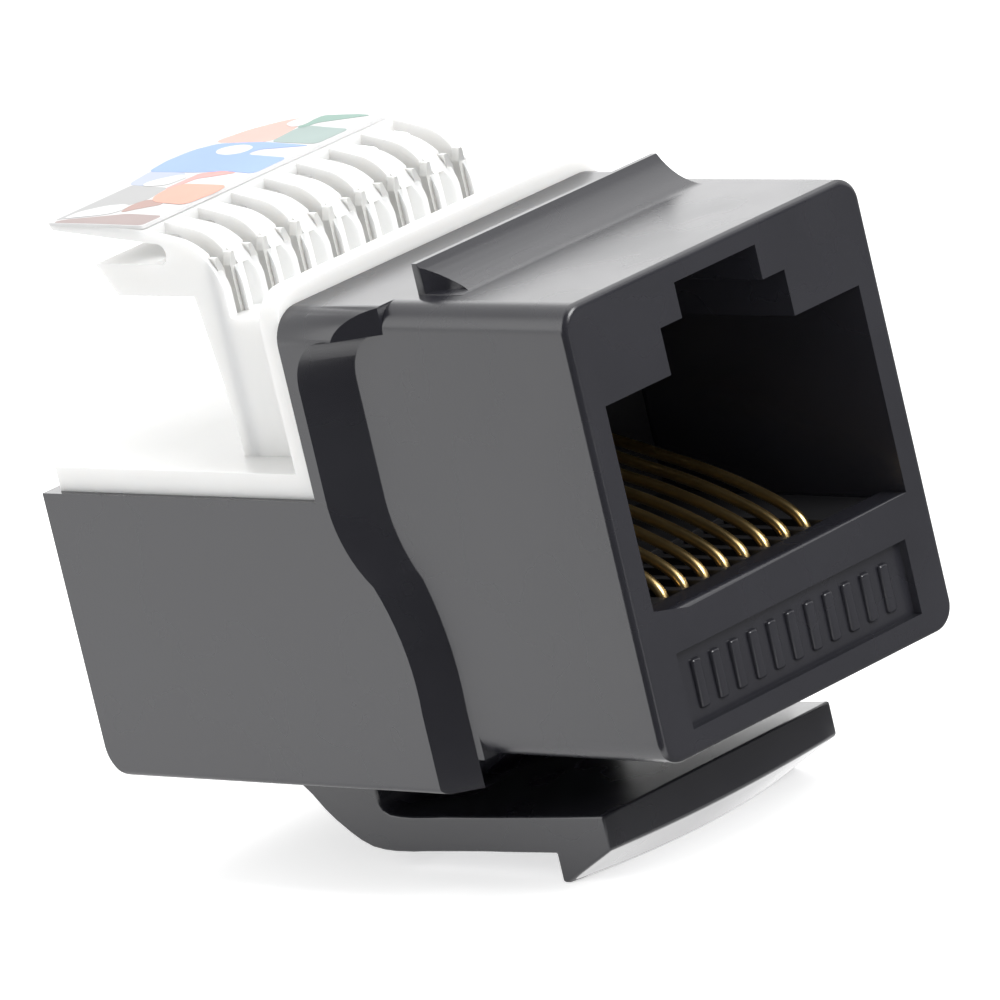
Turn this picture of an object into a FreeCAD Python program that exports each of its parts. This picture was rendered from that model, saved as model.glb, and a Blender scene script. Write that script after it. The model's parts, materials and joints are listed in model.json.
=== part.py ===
import FreeCAD
import Part

import os
import re

import Sketcher

# A keystone jack: a black moulded housing with an eight-way plug port, a sprung panel latch under its nose,
# eight contact springs in a carrier, and a white terminal block with slotted blades on a small circuit board.
#
# Frame, in millimetres: X to the right as seen from the front, Y from the front face to the back, Z up.
# The origin is at the middle of the nose's lower front edge.

SIZES = {
    # nose and rear of the housing
    "nose_width": 14.6,
    "nose_height": 16.25,
    "nose_corner": 0.9,
    "housing_depth": 13.2,
    "rear_width": 16.52,
    "rear_corner": 1.2,
    "base_drop": 1.0,
    "edge_round": 0.25,
    # shoulder that stops behind the panel: its length at the top, the middle and the bottom
    "shoulder_top_length": 4.3,
    "shoulder_middle_length": 2.45,
    "shoulder_bottom_length": 4.0,
    "shoulder_slope": 1.7,
    # tray behind the housing
    "tray_depth": 14.0,
    "tray_height": 9.5,
    "tray_wall": 1.1,
    "tray_corner": 1.1,
    "floor_thickness": 1.1,
    # plug port
    "front_wall": 1.2,
    "port_width": 12.6,
    "port_floor": 5.1,
    "port_height": 7.45,
    "guide_width": 6.15,
    "guide_height": 1.65,
    "tab_width": 4.0,
    "tab_height": 1.25,
    # marking recess under the port
    "recess_width": 11.5,
    "recess_bottom": 0.9,
    "recess_height": 2.7,
    "recess_depth": 0.35,
    # wedge ridge on top and latch below, which hold the jack in the panel
    "ridge_width": 11.9,
    "catch_depth": 8.2,
    "ridge_length": 2.2,
    "ridge_height": 1.1,
    "latch_width": 11.5,
    "latch_gap": 2.45,
    "latch_thickness": 1.4,
    "latch_nose_length": 2.75,
    "hook_drop": 1.15,
    "hook_tip": 0.5,
    "arm_length": 8.1,
    "flexure_radius": 0.9,
    "flexure_clearance": 0.05,
    "root_length": 4.8,
    # contact carrier and springs
    "carrier_clearance": 0.08,
    "carrier_wall": 1.4,
    "contact_pitch": 1.02,
    "contact_diameter": 0.45,
    "contact_tip_setback": 1.1,
    "contact_tip_drop": 0.75,
    "contact_curl": 0.75,
    "contact_rise": 2.9,
    "contact_arch": 0.3,
    "contact_seat": 0.3,
    "socket_height": 1.3,
    "comb_setback": 0.4,
    "comb_length": 5.0,
    "comb_cut": 2.0,
    "comb_clearance": 0.12,
    "comb_recess": 0.2,
    # circuit board
    "board_setback": 4.8,
    "board_thickness": 1.2,
    "board_width": 12.2,
    # terminal block
    "collar_inset": 0.26,
    "collar_thickness": 0.95,
    "collar_rise": 0.6,
    "block_clearance": 0.1,
    "plate_thickness": 0.9,
    "plate_setback": 0.7,
    "column_pitch": 1.62,
    "block_width": 12.6,
    "column_setback": 3.35,
    "block_height": 18.6,
    "ledge_height": 15.4,
    "leg_thickness": 1.6,
    "leg_taper": 0.6,
    "leg_taper_height": 4.5,
    "prong_reach": 8.3,
    "prong_thickness": 0.75,
    "prong_rise": 0.2,
    "fork_reach": 2.9,
    "fork_gap": 0.75,
    "lower_prong_reach": 6.3,
    "lower_prong_bottom": 16.15,
    "wire_slot": 0.56,
    "wire_slot_depth": 3.2,
    "groove_width": 0.6,
    "groove_depth": 0.4,
    # terminal blades
    "blade_inset": 0.45,
    "blade_width": 0.9,
    "blade_thickness": 0.35,
    "blade_top": 17.5,
    "blade_slot": 0.3,
    "blade_slot_depth": 3.4,
    "pin_width": 0.6,
    "pin_below_board": 0.5,
    "blade_clearance": 0.04,
    # label
    "label_width": 12.2,
    "label_thickness": 0.1,
    "label_setback": 3.7,
    # extra length of a cutting shape past the face that it opens
    "overcut": 1.0,
}

WAYS = 8

doc = FreeCAD.newDocument("keystone_jack")
sheet = doc.addObject("Spreadsheet::Sheet", "Sizes")
for row, (alias, number) in enumerate(SIZES.items(), start=1):
    sheet.set(f"A{row}", alias)
    sheet.set(f"B{row}", str(number))
    sheet.setAlias(f"B{row}", alias)
doc.recompute()

# Places that more than one piece uses, as formulas of the driving sizes.
REAR = "(housing_depth + tray_depth)"
BASE = "(-base_drop)"
PORT_TOP = "(port_floor + port_height)"
CHAMBER_WIDTH = "(rear_width - 2 * tray_wall)"
CHAMBER_REAR = f"({REAR} - tray_wall)"
BOARD_BOTTOM = "floor_thickness"
BOARD_TOP = f"({BOARD_BOTTOM} + board_thickness)"
BOARD_REAR = f"({CHAMBER_REAR} - 3 * block_clearance)"
BLOCK_REAR = f"({CHAMBER_REAR} - block_clearance)"
COLLAR_WIDTH = "(rear_width - 2 * collar_inset)"
COLLAR_REAR = "(housing_depth + collar_thickness)"
PLATE_TOP = "(tray_height + plate_thickness)"
CARRIER_TOP = "(port_floor - comb_recess)"
CARRIER_REAR = "(housing_depth - block_clearance)"
FLEXURE_DEPTH = "(catch_depth + arm_length)"
FLEXURE_HEIGHT = "(-latch_gap - flexure_radius)"
CONTACT_TIP = "(front_wall + contact_tip_setback)"
CONTACT_ROOT = f"({CARRIER_REAR} - carrier_wall + contact_seat)"
CONTACT_ROOT_HEIGHT = "(port_floor + contact_rise)"
BOARD_FRONT = "(front_wall + board_setback)"
COLUMN_FRONT = f"({COLLAR_REAR} + column_setback)"
BLADE_DEPTH = f"({COLUMN_FRONT} + blade_inset)"
PRONG_TIP = f"({COLUMN_FRONT} + prong_reach)"
PRONG_TOP = "(block_height + prong_rise)"
LABEL_FRONT = f"({COLUMN_FRONT} + label_setback)"
LABEL_SEAT = "(block_height - label_thickness / 2)"


def cells(formula):
    """Write a formula's size names as references to the sheet."""
    return re.sub(r"[a-z_]+", lambda word: "Sizes." + word.group(), str(formula))


def value(formula):
    """The number that a formula gives with the present sizes."""
    return float(sheet.evalExpression(cells(formula)))


def bind(item, name, formula):
    item.setExpression(name, cells(formula))


# Sketches ------------------------------------------------------------------------------------------------

def new_sketch(name, body=None, plane="YZ_Plane", lift=None):
    """A sketch on one of a body's origin planes, or on the YZ plane of the document."""
    if body is None:
        sketch = doc.addObject("Sketcher::SketchObject", name)
        sketch.Placement = FreeCAD.Placement(FreeCAD.Vector(), FreeCAD.Rotation(
            FreeCAD.Vector(0, 1, 0), FreeCAD.Vector(0, 0, 1), FreeCAD.Vector(1, 0, 0), "ZXY"))
    else:
        sketch = body.newObject("Sketcher::SketchObject", name)
        support = [item for item in body.Origin.OriginFeatures if item.Role == plane][0]
        sketch.AttachmentSupport = (support, [""])
        sketch.MapMode = "FlatFace"
    if lift is not None:
        bind(sketch, ".AttachmentOffset.Base.z", lift)
    return sketch


def hold(sketch, element, point, across, up):
    """Fix one point of a sketch element at formulas measured from the sketch's origin."""
    for kind, formula in (("DistanceX", across), ("DistanceY", up)):
        index = sketch.addConstraint(
            Sketcher.Constraint(kind, -1, 1, element, point, value(formula)))
        sketch.setExpression(f"Constraints[{index}]", cells(formula))


def outline(sketch, corners, closed=True):
    """Join corners by straight lines, or by an arc through a third entry (a point on the arc)."""
    count = len(corners) if closed else len(corners) - 1
    first = sketch.GeometryCount
    for index in range(count):
        start = corners[index]
        end = corners[(index + 1) % len(corners)]
        tail = FreeCAD.Vector(value(start[0]), value(start[1]), 0)
        head = FreeCAD.Vector(value(end[0]), value(end[1]), 0)
        if len(start) > 2:
            middle = FreeCAD.Vector(value(start[2][0]), value(start[2][1]), 0)
            arc = Part.Arc(tail, middle, head).toShape().Curve
            turn = (middle - tail).cross(head - middle).z
            circle = Part.Circle(arc.Center, FreeCAD.Vector(0, 0, 1), arc.Radius)
            ends = (tail, head) if turn > 0 else (head, tail)
            angles = [circle.parameter(end_point) for end_point in ends]
            sketch.addGeometry(Part.ArcOfCircle(circle, *angles))
            tail_point = 1 if turn > 0 else 2
        else:
            sketch.addGeometry(Part.LineSegment(tail, head))
            tail_point = 1
        element = first + index
        hold(sketch, element, tail_point, start[0], start[1])
        hold(sketch, element, 3 - tail_point, end[0], end[1])


def rectangle(sketch, left, right, low, high):
    outline(sketch, [(left, low), (right, low), (right, high), (left, high)])


# Features ------------------------------------------------------------------------------------------------

def new_body(label):
    body = doc.addObject("PartDesign::Body", label)
    body.Label = label
    return body


def pad(body, sketch, length, name, reverse=False, both_ways=False):
    feature = body.newObject("PartDesign::Pad", name)
    feature.Profile = sketch
    bind(feature, "Length", length)
    feature.Reversed = reverse
    if both_ways:
        feature.SideType = "Symmetric"
    return feature


def pocket(body, sketch, length, name, reverse=False, both_ways=False):
    doc.recompute()
    before = body.Shape.Volume
    feature = body.newObject("PartDesign::Pocket", name)
    feature.Profile = sketch
    bind(feature, "Length", length)
    feature.Reversed = reverse
    if both_ways:
        feature.SideType = "Symmetric"
    doc.recompute()
    if body.Shape.Volume >= before:
        raise RuntimeError(f"{name} cuts nothing")
    return feature


def repeat_across(body, feature, pitch, count, name):
    """Repeat a feature along X, and make the row the body's tip."""
    row = body.newObject("PartDesign::LinearPattern", name)
    row.Originals = [feature]
    axis = [item for item in body.Origin.OriginFeatures if item.Role == "X_Axis"][0]
    row.Direction = (axis, [""])
    row.Mode = "Spacing"
    row.Occurrences = count
    bind(row, "Offset", pitch)
    body.Tip = row
    return row


def edges_where(shape, test):
    return [f"Edge{index}" for index, edge in enumerate(shape.Edges, start=1) if test(edge)]


def round_edges(body, radius, name, test):
    doc.recompute()
    base = body.Tip
    feature = body.newObject("PartDesign::Fillet", name)
    feature.Base = (base, edges_where(base.Shape, test))
    bind(feature, "Radius", radius)
    return feature


def runs_along(edge, axis):
    """True for a straight edge along the axis given as a vector."""
    if not isinstance(edge.Curve, Part.Line):
        return False
    direction = edge.Curve.Direction
    return abs(abs(direction.dot(axis)) - 1) < 1e-6


ALONG_X = FreeCAD.Vector(1, 0, 0)
ALONG_Y = FreeCAD.Vector(0, 1, 0)
ALONG_Z = FreeCAD.Vector(0, 0, 1)


def box(name, low, high):
    """A Part box between two corners given as formulas."""
    item = doc.addObject("Part::Box", name)
    for axis, side, start, end in zip("xyz", ("Length", "Width", "Height"), low, high):
        bind(item, f".Placement.Base.{axis}", start)
        bind(item, side, f"({end}) - ({start})")
    return item


def across(name, sketch, width):
    """Extrude a document sketch both ways from the middle plane."""
    item = doc.addObject("Part::Extrusion", name)
    item.Base = sketch
    item.DirMode = "Custom"
    item.Dir = ALONG_X
    item.Solid = True
    item.Symmetric = True
    bind(item, "LengthFwd", width)
    return item


def rounded(name, base, groups):
    """Round groups of a Part object's edges: each group is a radius formula and an edge test."""
    doc.recompute()
    item = doc.addObject("Part::Fillet", name)
    item.Base = base
    rows = []
    for radius, test in groups:
        for edge_name in edges_where(base.Shape, test):
            rows.append((int(edge_name[4:]), value(radius), value(radius)))
    item.Edges = rows
    return item


def fuse(name, *items):
    item = doc.addObject("Part::MultiFuse", name)
    item.Shapes = list(items)
    item.Refine = True
    return item


def cut(name, base, tool):
    item = doc.addObject("Part::Cut", name)
    item.Base = base
    item.Tool = tool
    return item


# Housing -------------------------------------------------------------------------------------------------

def shoulder_profile(name, lift, slope, top, bottom):
    """One section of the shoulder and tray at a distance from the middle plane, slope behind its foot."""
    sketch = doc.addObject("Sketcher::SketchObject", name)
    sketch.Placement = FreeCAD.Placement(FreeCAD.Vector(), FreeCAD.Rotation(
        FreeCAD.Vector(0, 1, 0), FreeCAD.Vector(0, 0, 1), FreeCAD.Vector(1, 0, 0), "ZXY"))
    bind(sketch, ".Placement.Base.x", lift)
    low = f"(housing_depth - shoulder_bottom_length + {bottom})"
    middle = f"(housing_depth - shoulder_middle_length + {slope})"
    high = f"(housing_depth - shoulder_top_length + {top})"
    outline(sketch, [
        (low, BASE),
        (REAR, BASE),
        (REAR, "tray_height"),
        ("housing_depth", "tray_height"),
        ("housing_depth", "nose_height"),
        (high, "nose_height"),
        (high, "0.94 * nose_height", (f"0.75 * {middle} + 0.25 * {high}", "0.91 * nose_height")),
        (middle, "0.84 * nose_height"),
        (middle, "0.6 * nose_height", (f"0.27 * {low} + 0.73 * {middle}", "0.455 * nose_height")),
        (f"0.6 * {low} + 0.4 * {middle}", "0.4 * nose_height",
         (f"0.94 * {low} + 0.06 * {middle}", "0.27 * nose_height")),
        (low, "0.12 * nose_height"),
    ])
    return sketch


def wing(name, side):
    """The part of the shoulder and tray that stands proud of one side of the nose."""
    foot = shoulder_profile(name + "_foot", f"{side} * nose_width / 2", "0", "0", "0")
    crest = shoulder_profile(name + "_crest", f"{side} * rear_width / 2", "1.12 * shoulder_slope",
                             "shoulder_slope", "0.7 * shoulder_slope")
    item = doc.addObject("Part::Loft", name)
    item.Sections = [foot, crest]
    item.Solid = True
    item.Ruled = True
    return item


def make_housing():
    core_sketch = new_sketch("core_profile")
    outline(core_sketch, [
        ("edge_round", "0"),
        ("housing_depth - shoulder_bottom_length", "0"),
        ("housing_depth - shoulder_bottom_length + 0.7 * shoulder_slope", BASE),
        (REAR, BASE),
        (REAR, "tray_height"),
        ("housing_depth", "tray_height"),
        ("housing_depth", "nose_height"),
        ("edge_round", "nose_height"),
    ])
    core = across("core", core_sketch, "nose_width")
    nose = box("nose_block", ("-nose_width / 2", "0", "0"),
               ("nose_width / 2", "housing_depth", "nose_height"))
    nose = rounded("nose", nose, [
        ("nose_corner", lambda edge: runs_along(edge, ALONG_Y)),
    ])
    envelope = box("rear_block", ("-rear_width / 2", "housing_depth - shoulder_top_length", BASE),
                   ("rear_width / 2", REAR, "nose_height"))
    rear_face = value(REAR)
    envelope = rounded("rear_envelope", envelope, [
        ("rear_corner", lambda edge: runs_along(edge, ALONG_Y) and edge.BoundBox.ZMin > 0),
        ("tray_corner", lambda edge: edge.BoundBox.YMin > rear_face - 0.01 and edge.BoundBox.ZMax < 0),
        ("edge_round", lambda edge: runs_along(edge, ALONG_Y) and edge.BoundBox.ZMin < 0),
    ])
    wide = fuse("wide_section", core, wing("left_wing", -1), wing("right_wing", 1))
    wide_rear = doc.addObject("Part::Common", "rear_section")
    wide_rear.Base = wide
    wide_rear.Tool = envelope

    ridge_sketch = new_sketch("ridge_profile")
    outline(ridge_sketch, [
        ("catch_depth", "nose_height - edge_round"),
        ("catch_depth", "nose_height + ridge_height"),
        ("catch_depth - 0.11 * ridge_length", "nose_height + ridge_height",
         ("catch_depth - 0.45 * ridge_length", "nose_height + 0.36 * ridge_height")),
        ("catch_depth - ridge_length", "nose_height"),
        ("catch_depth - ridge_length", "nose_height - edge_round"),
    ])
    ridge = across("ridge", ridge_sketch, "ridge_width")

    root_sketch = new_sketch("latch_root_profile")
    root_front = f"({FLEXURE_DEPTH} + 0.55 * flexure_radius)"
    root_bottom = f"({FLEXURE_HEIGHT} - flexure_radius)"
    root_rear = f"({root_front} + root_length)"
    outline(root_sketch, [
        (root_front, f"{BASE} + edge_round"),
        (root_front, f"{root_bottom} + 0.11 * flexure_radius"),
        (f"{root_front} + 0.06 * root_length", f"{root_bottom} + 0.11 * flexure_radius",
         (f"{root_front} + 0.33 * root_length", f"0.78 * {root_bottom} + 0.22 * {BASE}")),
        (f"{root_front} + 0.52 * root_length", f"0.5 * {root_bottom} + 0.5 * {BASE}",
         (f"{root_front} + 0.72 * root_length", f"0.2 * {root_bottom} + 0.8 * {BASE}")),
        (root_rear, BASE),
        (root_rear, f"{BASE} + edge_round"),
    ])
    root = across("latch_root", root_sketch, "latch_width")

    solid = fuse("housing_solid", nose, wide_rear, ridge, root)

    port_sketch = new_sketch("port_profile")
    outline(port_sketch, [
        ("-overcut", "port_floor"),
        ("front_wall", "port_floor"),
        ("front_wall", "floor_thickness"),
        ("housing_depth + overcut", "floor_thickness"),
        ("housing_depth + overcut", PORT_TOP),
        ("-overcut", PORT_TOP),
    ])
    port = across("port", port_sketch, "port_width")
    guide = box("tab_guide", ("-guide_width / 2", "-overcut", f"{PORT_TOP} - overcut"),
                ("guide_width / 2", "housing_depth + overcut", f"{PORT_TOP} + guide_height"))
    tab = box("tab_channel", ("-tab_width / 2", "-overcut", f"{PORT_TOP} - overcut"),
              ("tab_width / 2", "housing_depth + overcut", f"{PORT_TOP} + guide_height + tab_height"))
    chamber = box("tray_chamber", (f"-{CHAMBER_WIDTH} / 2", "housing_depth", f"{BASE} + floor_thickness"),
                  (f"{CHAMBER_WIDTH} / 2", CHAMBER_REAR, "nose_height + overcut"))
    recess = box("marking_recess", ("-recess_width / 2", "-overcut", "recess_bottom"),
                 ("recess_width / 2", "recess_depth", "recess_bottom + recess_height"))
    groove = doc.addObject("Part::Cylinder", "flexure_groove")
    bind(groove, "Radius", "flexure_radius + flexure_clearance")
    bind(groove, "Height", "latch_width + 2 * overcut")
    groove.Placement = FreeCAD.Placement(FreeCAD.Vector(), FreeCAD.Rotation(ALONG_Y, 90))
    bind(groove, ".Placement.Base.x", "-latch_width / 2 - overcut")
    bind(groove, ".Placement.Base.y", FLEXURE_DEPTH)
    bind(groove, ".Placement.Base.z", FLEXURE_HEIGHT)

    hollows = fuse("hollows", port, guide, tab, chamber, recess, groove)
    hollowed = cut("hollowed_housing", solid, hollows)
    housing = rounded("housing_body", hollowed, [
        ("edge_round", lambda edge: edge.BoundBox.YMax < 0.01
         and (abs(edge.BoundBox.XMax) > value("nose_width / 2 - nose_corner - 0.01")
              or edge.BoundBox.ZMin > value("nose_height") - 0.01
              or edge.BoundBox.ZMax < 0.01)
         and (edge.BoundBox.XMin < value("-nose_width / 2 + nose_corner + 0.01")
              or edge.BoundBox.XMax > value("nose_width / 2 - nose_corner - 0.01"))),
    ])
    housing.Label = "housing"
    return housing


# Panel latch ---------------------------------------------------------------------------------------------

def make_latch():
    """Arm that bends at its round rear end, with a hook that snaps behind the panel."""
    body = new_body("panel_latch")
    sketch = new_sketch("latch_profile", body)
    top = "(-latch_gap)"
    bottom = "(-latch_gap - latch_thickness)"
    front = "(catch_depth - latch_nose_length)"
    round_bottom = f"({FLEXURE_HEIGHT} - flexure_radius)"
    outline(sketch, [
        (front, bottom, (f"{front} + 0.55 * latch_nose_length", f"{bottom} - 0.42 * hook_drop")),
        ("catch_depth - hook_tip", f"{bottom} - hook_drop"),
        ("catch_depth", f"{bottom} - hook_drop"),
        ("catch_depth", bottom),
        (FLEXURE_DEPTH, round_bottom, (f"{FLEXURE_DEPTH} + flexure_radius", FLEXURE_HEIGHT)),
        (FLEXURE_DEPTH, top),
        (front, top),
    ])
    pad(body, sketch, "latch_width", "latch_arm", both_ways=True)
    return body


# Contact carrier and springs -----------------------------------------------------------------------------

def make_carrier():
    """Insert under and behind the plug: a comb for the springs and a wall that holds their roots."""
    body = new_body("contact_carrier")
    sketch = new_sketch("carrier_profile", body)
    front = "(front_wall + carrier_clearance)"
    wall = f"({CARRIER_REAR} - carrier_wall)"
    outline(sketch, [
        (front, "floor_thickness"),
        (f"{BOARD_FRONT} - carrier_clearance", "floor_thickness"),
        (f"{BOARD_FRONT} - carrier_clearance", BOARD_TOP),
        (CARRIER_REAR, BOARD_TOP),
        (CARRIER_REAR, f"{PORT_TOP} - carrier_clearance"),
        (wall, f"{PORT_TOP} - carrier_clearance"),
        (wall, CARRIER_TOP),
        (front, CARRIER_TOP),
    ])
    pad(body, sketch, "port_width - 2 * carrier_clearance", "carrier_block", both_ways=True)

    slot_left = f"(-{(WAYS - 1) / 2} * contact_pitch - contact_diameter / 2 - comb_clearance)"
    slot_right = f"(-{(WAYS - 1) / 2} * contact_pitch + contact_diameter / 2 + comb_clearance)"
    comb = new_sketch("comb_slot_profile", body, "XY_Plane", CARRIER_TOP)
    comb_front = f"({front} + comb_setback)"
    rectangle(comb, slot_left, slot_right, comb_front, f"{comb_front} + comb_length")
    slot = pocket(body, comb, "comb_cut", "comb_slot")
    repeat_across(body, slot, "contact_pitch", WAYS, "comb_slots")

    socket = new_sketch("root_socket_profile", body, "XY_Plane", f"{CONTACT_ROOT_HEIGHT} + socket_height / 2")
    rectangle(socket, slot_left, slot_right, f"{wall} - overcut", f"{CONTACT_ROOT} + contact_diameter")
    hole = pocket(body, socket, "socket_height", "root_socket")
    repeat_across(body, hole, "contact_pitch", WAYS, "root_sockets")
    return body


def make_contact(number):
    """One spring: a curled tip in the comb, a long arch under the plug and a root in the carrier's wall."""
    body = new_body(f"contact_{number}")
    tip_height = "(port_floor - contact_tip_drop)"
    bend_depth = f"({CONTACT_TIP} + contact_curl)"
    bend_height = "(port_floor + contact_diameter / 9)"
    path = new_sketch(f"contact_path_{number}", body)
    outline(path, [
        (CONTACT_TIP, tip_height, (f"{CONTACT_TIP} + contact_curl / 6", "port_floor - contact_curl / 3")),
        (bend_depth, bend_height,
         (f"0.5 * ({bend_depth} + {CONTACT_ROOT})",
          f"0.5 * ({bend_height} + {CONTACT_ROOT_HEIGHT}) + contact_arch")),
        (CONTACT_ROOT, CONTACT_ROOT_HEIGHT),
    ], closed=False)
    section = new_sketch(f"contact_section_{number}", body, "XY_Plane", tip_height)
    section.addGeometry(Part.Circle(
        FreeCAD.Vector(0, value(CONTACT_TIP), 0), FreeCAD.Vector(0, 0, 1), value("contact_diameter / 2")))
    hold(section, 0, 3, "0", CONTACT_TIP)
    radius = section.addConstraint(Sketcher.Constraint("Radius", 0, value("contact_diameter / 2")))
    section.setExpression(f"Constraints[{radius}]", cells("contact_diameter / 2"))
    wire = body.newObject("PartDesign::AdditivePipe", f"contact_wire_{number}")
    wire.Profile = section
    wire.Spine = (path, ["Edge1", "Edge2"])
    wire.Mode = "Frenet"
    wire.Transition = "Round corner"
    bind(body, ".Placement.Base.x", f"{number - (WAYS + 1) / 2} * contact_pitch")
    return body


# Circuit board -------------------------------------------------------------------------------------------

def make_board():
    """Board that the springs' carrier and the terminal block stand on, with a hole for each blade's pin."""
    body = new_body("circuit_board")
    sketch = new_sketch("board_outline", body, "XY_Plane", BOARD_BOTTOM)
    rectangle(sketch, "-board_width / 2", "board_width / 2", BOARD_FRONT, BOARD_REAR)
    pad(body, sketch, "board_thickness", "board_plate")
    holes = new_sketch("pin_hole_profile", body, "XY_Plane", BOARD_TOP)
    middle = f"(-{(WAYS - 1) / 2} * column_pitch)"
    rectangle(holes, f"{middle} - pin_width / 2 - blade_clearance",
              f"{middle} + pin_width / 2 + blade_clearance",
              f"{BLADE_DEPTH} - blade_thickness / 2 - blade_clearance",
              f"{BLADE_DEPTH} + blade_thickness / 2 + blade_clearance")
    hole = pocket(body, holes, "board_thickness + overcut", "pin_hole")
    repeat_across(body, hole, "column_pitch", WAYS, "pin_holes")
    return body


# Terminal block and blades -------------------------------------------------------------------------------

def make_blade(number):
    """A slotted sheet-metal blade: its fork grips a wire and its pin goes through the board."""
    body = new_body(f"terminal_blade_{number}")
    sketch = new_sketch(f"blade_outline_{number}", body, "XZ_Plane")
    half = "(blade_width / 2)"
    half_slot = "(blade_slot / 2)"
    half_pin = "(pin_width / 2)"
    slot_bottom = "(blade_top - blade_slot_depth)"
    outline(sketch, [
        (f"-{half_pin}", f"{BOARD_BOTTOM} - pin_below_board"),
        (half_pin, f"{BOARD_BOTTOM} - pin_below_board"),
        (half_pin, BOARD_TOP),
        (half, BOARD_TOP),
        (half, "blade_top"),
        (f"0.67 * {half}", "blade_top"),
        (half_slot, "blade_top - blade_width / 2"),
        (half_slot, slot_bottom),
        (f"-{half_slot}", slot_bottom),
        (f"-{half_slot}", "blade_top - blade_width / 2"),
        (f"-0.67 * {half}", "blade_top"),
        (f"-{half}", "blade_top"),
        (f"-{half}", BOARD_TOP),
        (f"-{half_pin}", BOARD_TOP),
    ])
    pad(body, sketch, "blade_thickness", f"blade_sheet_{number}", both_ways=True)
    bind(body, ".Placement.Base.x", f"{number - (WAYS + 1) / 2} * column_pitch")
    bind(body, ".Placement.Base.y", BLADE_DEPTH)
    return body


def make_block():
    """White moulding: a foot in the tray, a collar on the housing and columns that end in a fork."""
    body = new_body("terminal_block")
    foot = new_sketch("block_foot_profile", body)
    rectangle(foot, "housing_depth + block_clearance", BLOCK_REAR, BOARD_TOP, "tray_height")
    pad(body, foot, f"{CHAMBER_WIDTH} - 2 * block_clearance", "block_foot", both_ways=True)
    plate = new_sketch("block_plate_profile", body)
    rectangle(plate, "housing_depth", f"{REAR} - plate_setback", "tray_height", PLATE_TOP)
    pad(body, plate, COLLAR_WIDTH, "block_plate", both_ways=True)
    collar = new_sketch("collar_profile", body)
    rectangle(collar, "housing_depth", COLLAR_REAR, "tray_height", "nose_height + collar_rise")
    pad(body, collar, COLLAR_WIDTH, "collar", both_ways=True)

    ledge = new_sketch("column_profile", body)
    fork_end = f"({COLUMN_FRONT} + fork_reach)"
    leg_rear = f"({COLUMN_FRONT} + leg_thickness)"
    prong_bottom = f"({PRONG_TOP} - prong_thickness)"
    lower_top = f"({prong_bottom} - fork_gap)"
    outline(ledge, [
        (COLLAR_REAR, "tray_height"),
        (f"{leg_rear} - leg_taper", "tray_height"),
        (f"{leg_rear} - leg_taper", "lower_prong_bottom - leg_taper_height"),
        (leg_rear, "lower_prong_bottom"),
        (f"{COLUMN_FRONT} + 0.87 * lower_prong_reach", "lower_prong_bottom"),
        (f"{COLUMN_FRONT} + lower_prong_reach", lower_top),
        (fork_end, lower_top, (f"{fork_end} - fork_gap / 2", f"{lower_top} + fork_gap / 2")),
        (fork_end, prong_bottom),
        (f"{PRONG_TIP} - 0.27 * prong_thickness", f"{PRONG_TOP} - 0.4 * prong_thickness"),
        (PRONG_TIP, PRONG_TOP),
        (LABEL_FRONT, LABEL_SEAT),
        (f"{COLUMN_FRONT} + 0.54 * label_setback", "block_height - 0.095 * label_setback",
         (f"{COLUMN_FRONT} + 0.195 * label_setback", "block_height - 0.257 * label_setback")),
        (COLUMN_FRONT, "block_height - 0.595 * label_setback"),
        (COLUMN_FRONT, "ledge_height"),
        (COLLAR_REAR, "ledge_height"),
    ])
    pad(body, ledge, "block_width", "columns", both_ways=True)

    first = f"(-{(WAYS - 1) / 2} * column_pitch)"
    slots = new_sketch("wire_slot_profile", body, "XZ_Plane", f"overcut - {COLUMN_FRONT}")
    slot_floor = "(block_height - wire_slot_depth)"
    outline(slots, [
        (f"{first} - wire_slot / 2", slot_floor),
        (f"{first} + wire_slot / 2", slot_floor),
        (f"{first} + wire_slot / 2", "block_height - 0.8 * column_pitch"),
        (f"{first} + 0.36 * column_pitch", "block_height + overcut"),
        (f"{first} - 0.36 * column_pitch", "block_height + overcut"),
        (f"{first} - wire_slot / 2", "block_height - 0.8 * column_pitch"),
    ])
    slot = pocket(body, slots, "overcut + 0.93 * label_setback", "wire_slot")
    repeat_across(body, slot, "column_pitch", WAYS, "wire_slots")

    channel = new_sketch("blade_channel_profile", body, "XY_Plane", "blade_top + block_clearance")
    rectangle(channel, f"{first} - blade_width / 2 - blade_clearance",
              f"{first} + blade_width / 2 + blade_clearance",
              f"{BLADE_DEPTH} - blade_thickness / 2 - blade_clearance",
              f"{BLADE_DEPTH} + blade_thickness / 2 + blade_clearance")
    hole = pocket(body, channel, "block_height + overcut", "blade_channel")
    repeat_across(body, hole, "column_pitch", WAYS, "blade_channels")

    grooves = new_sketch("column_groove_profile", body, "XY_Plane", "ledge_height")
    edge = f"({first} + column_pitch / 2)"
    outline(grooves, [
        (f"{edge} - groove_width / 2", COLUMN_FRONT),
        (f"{edge} + groove_width / 2", COLUMN_FRONT),
        (edge, f"{COLUMN_FRONT} + groove_depth"),
    ])
    groove = pocket(body, grooves, "(block_height - ledge_height) / 2", "column_groove", reverse=True)
    repeat_across(body, groove, "column_pitch", WAYS - 1, "column_grooves")

    collar_top = value("nose_height + collar_rise")
    round_edges(body, "rear_corner", "collar_corners", lambda item: runs_along(item, ALONG_Y)
                and item.BoundBox.ZMin > collar_top - 0.01
                and abs(item.BoundBox.XMin) > value(f"{COLLAR_WIDTH} / 2") - 0.01)
    return body


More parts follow.
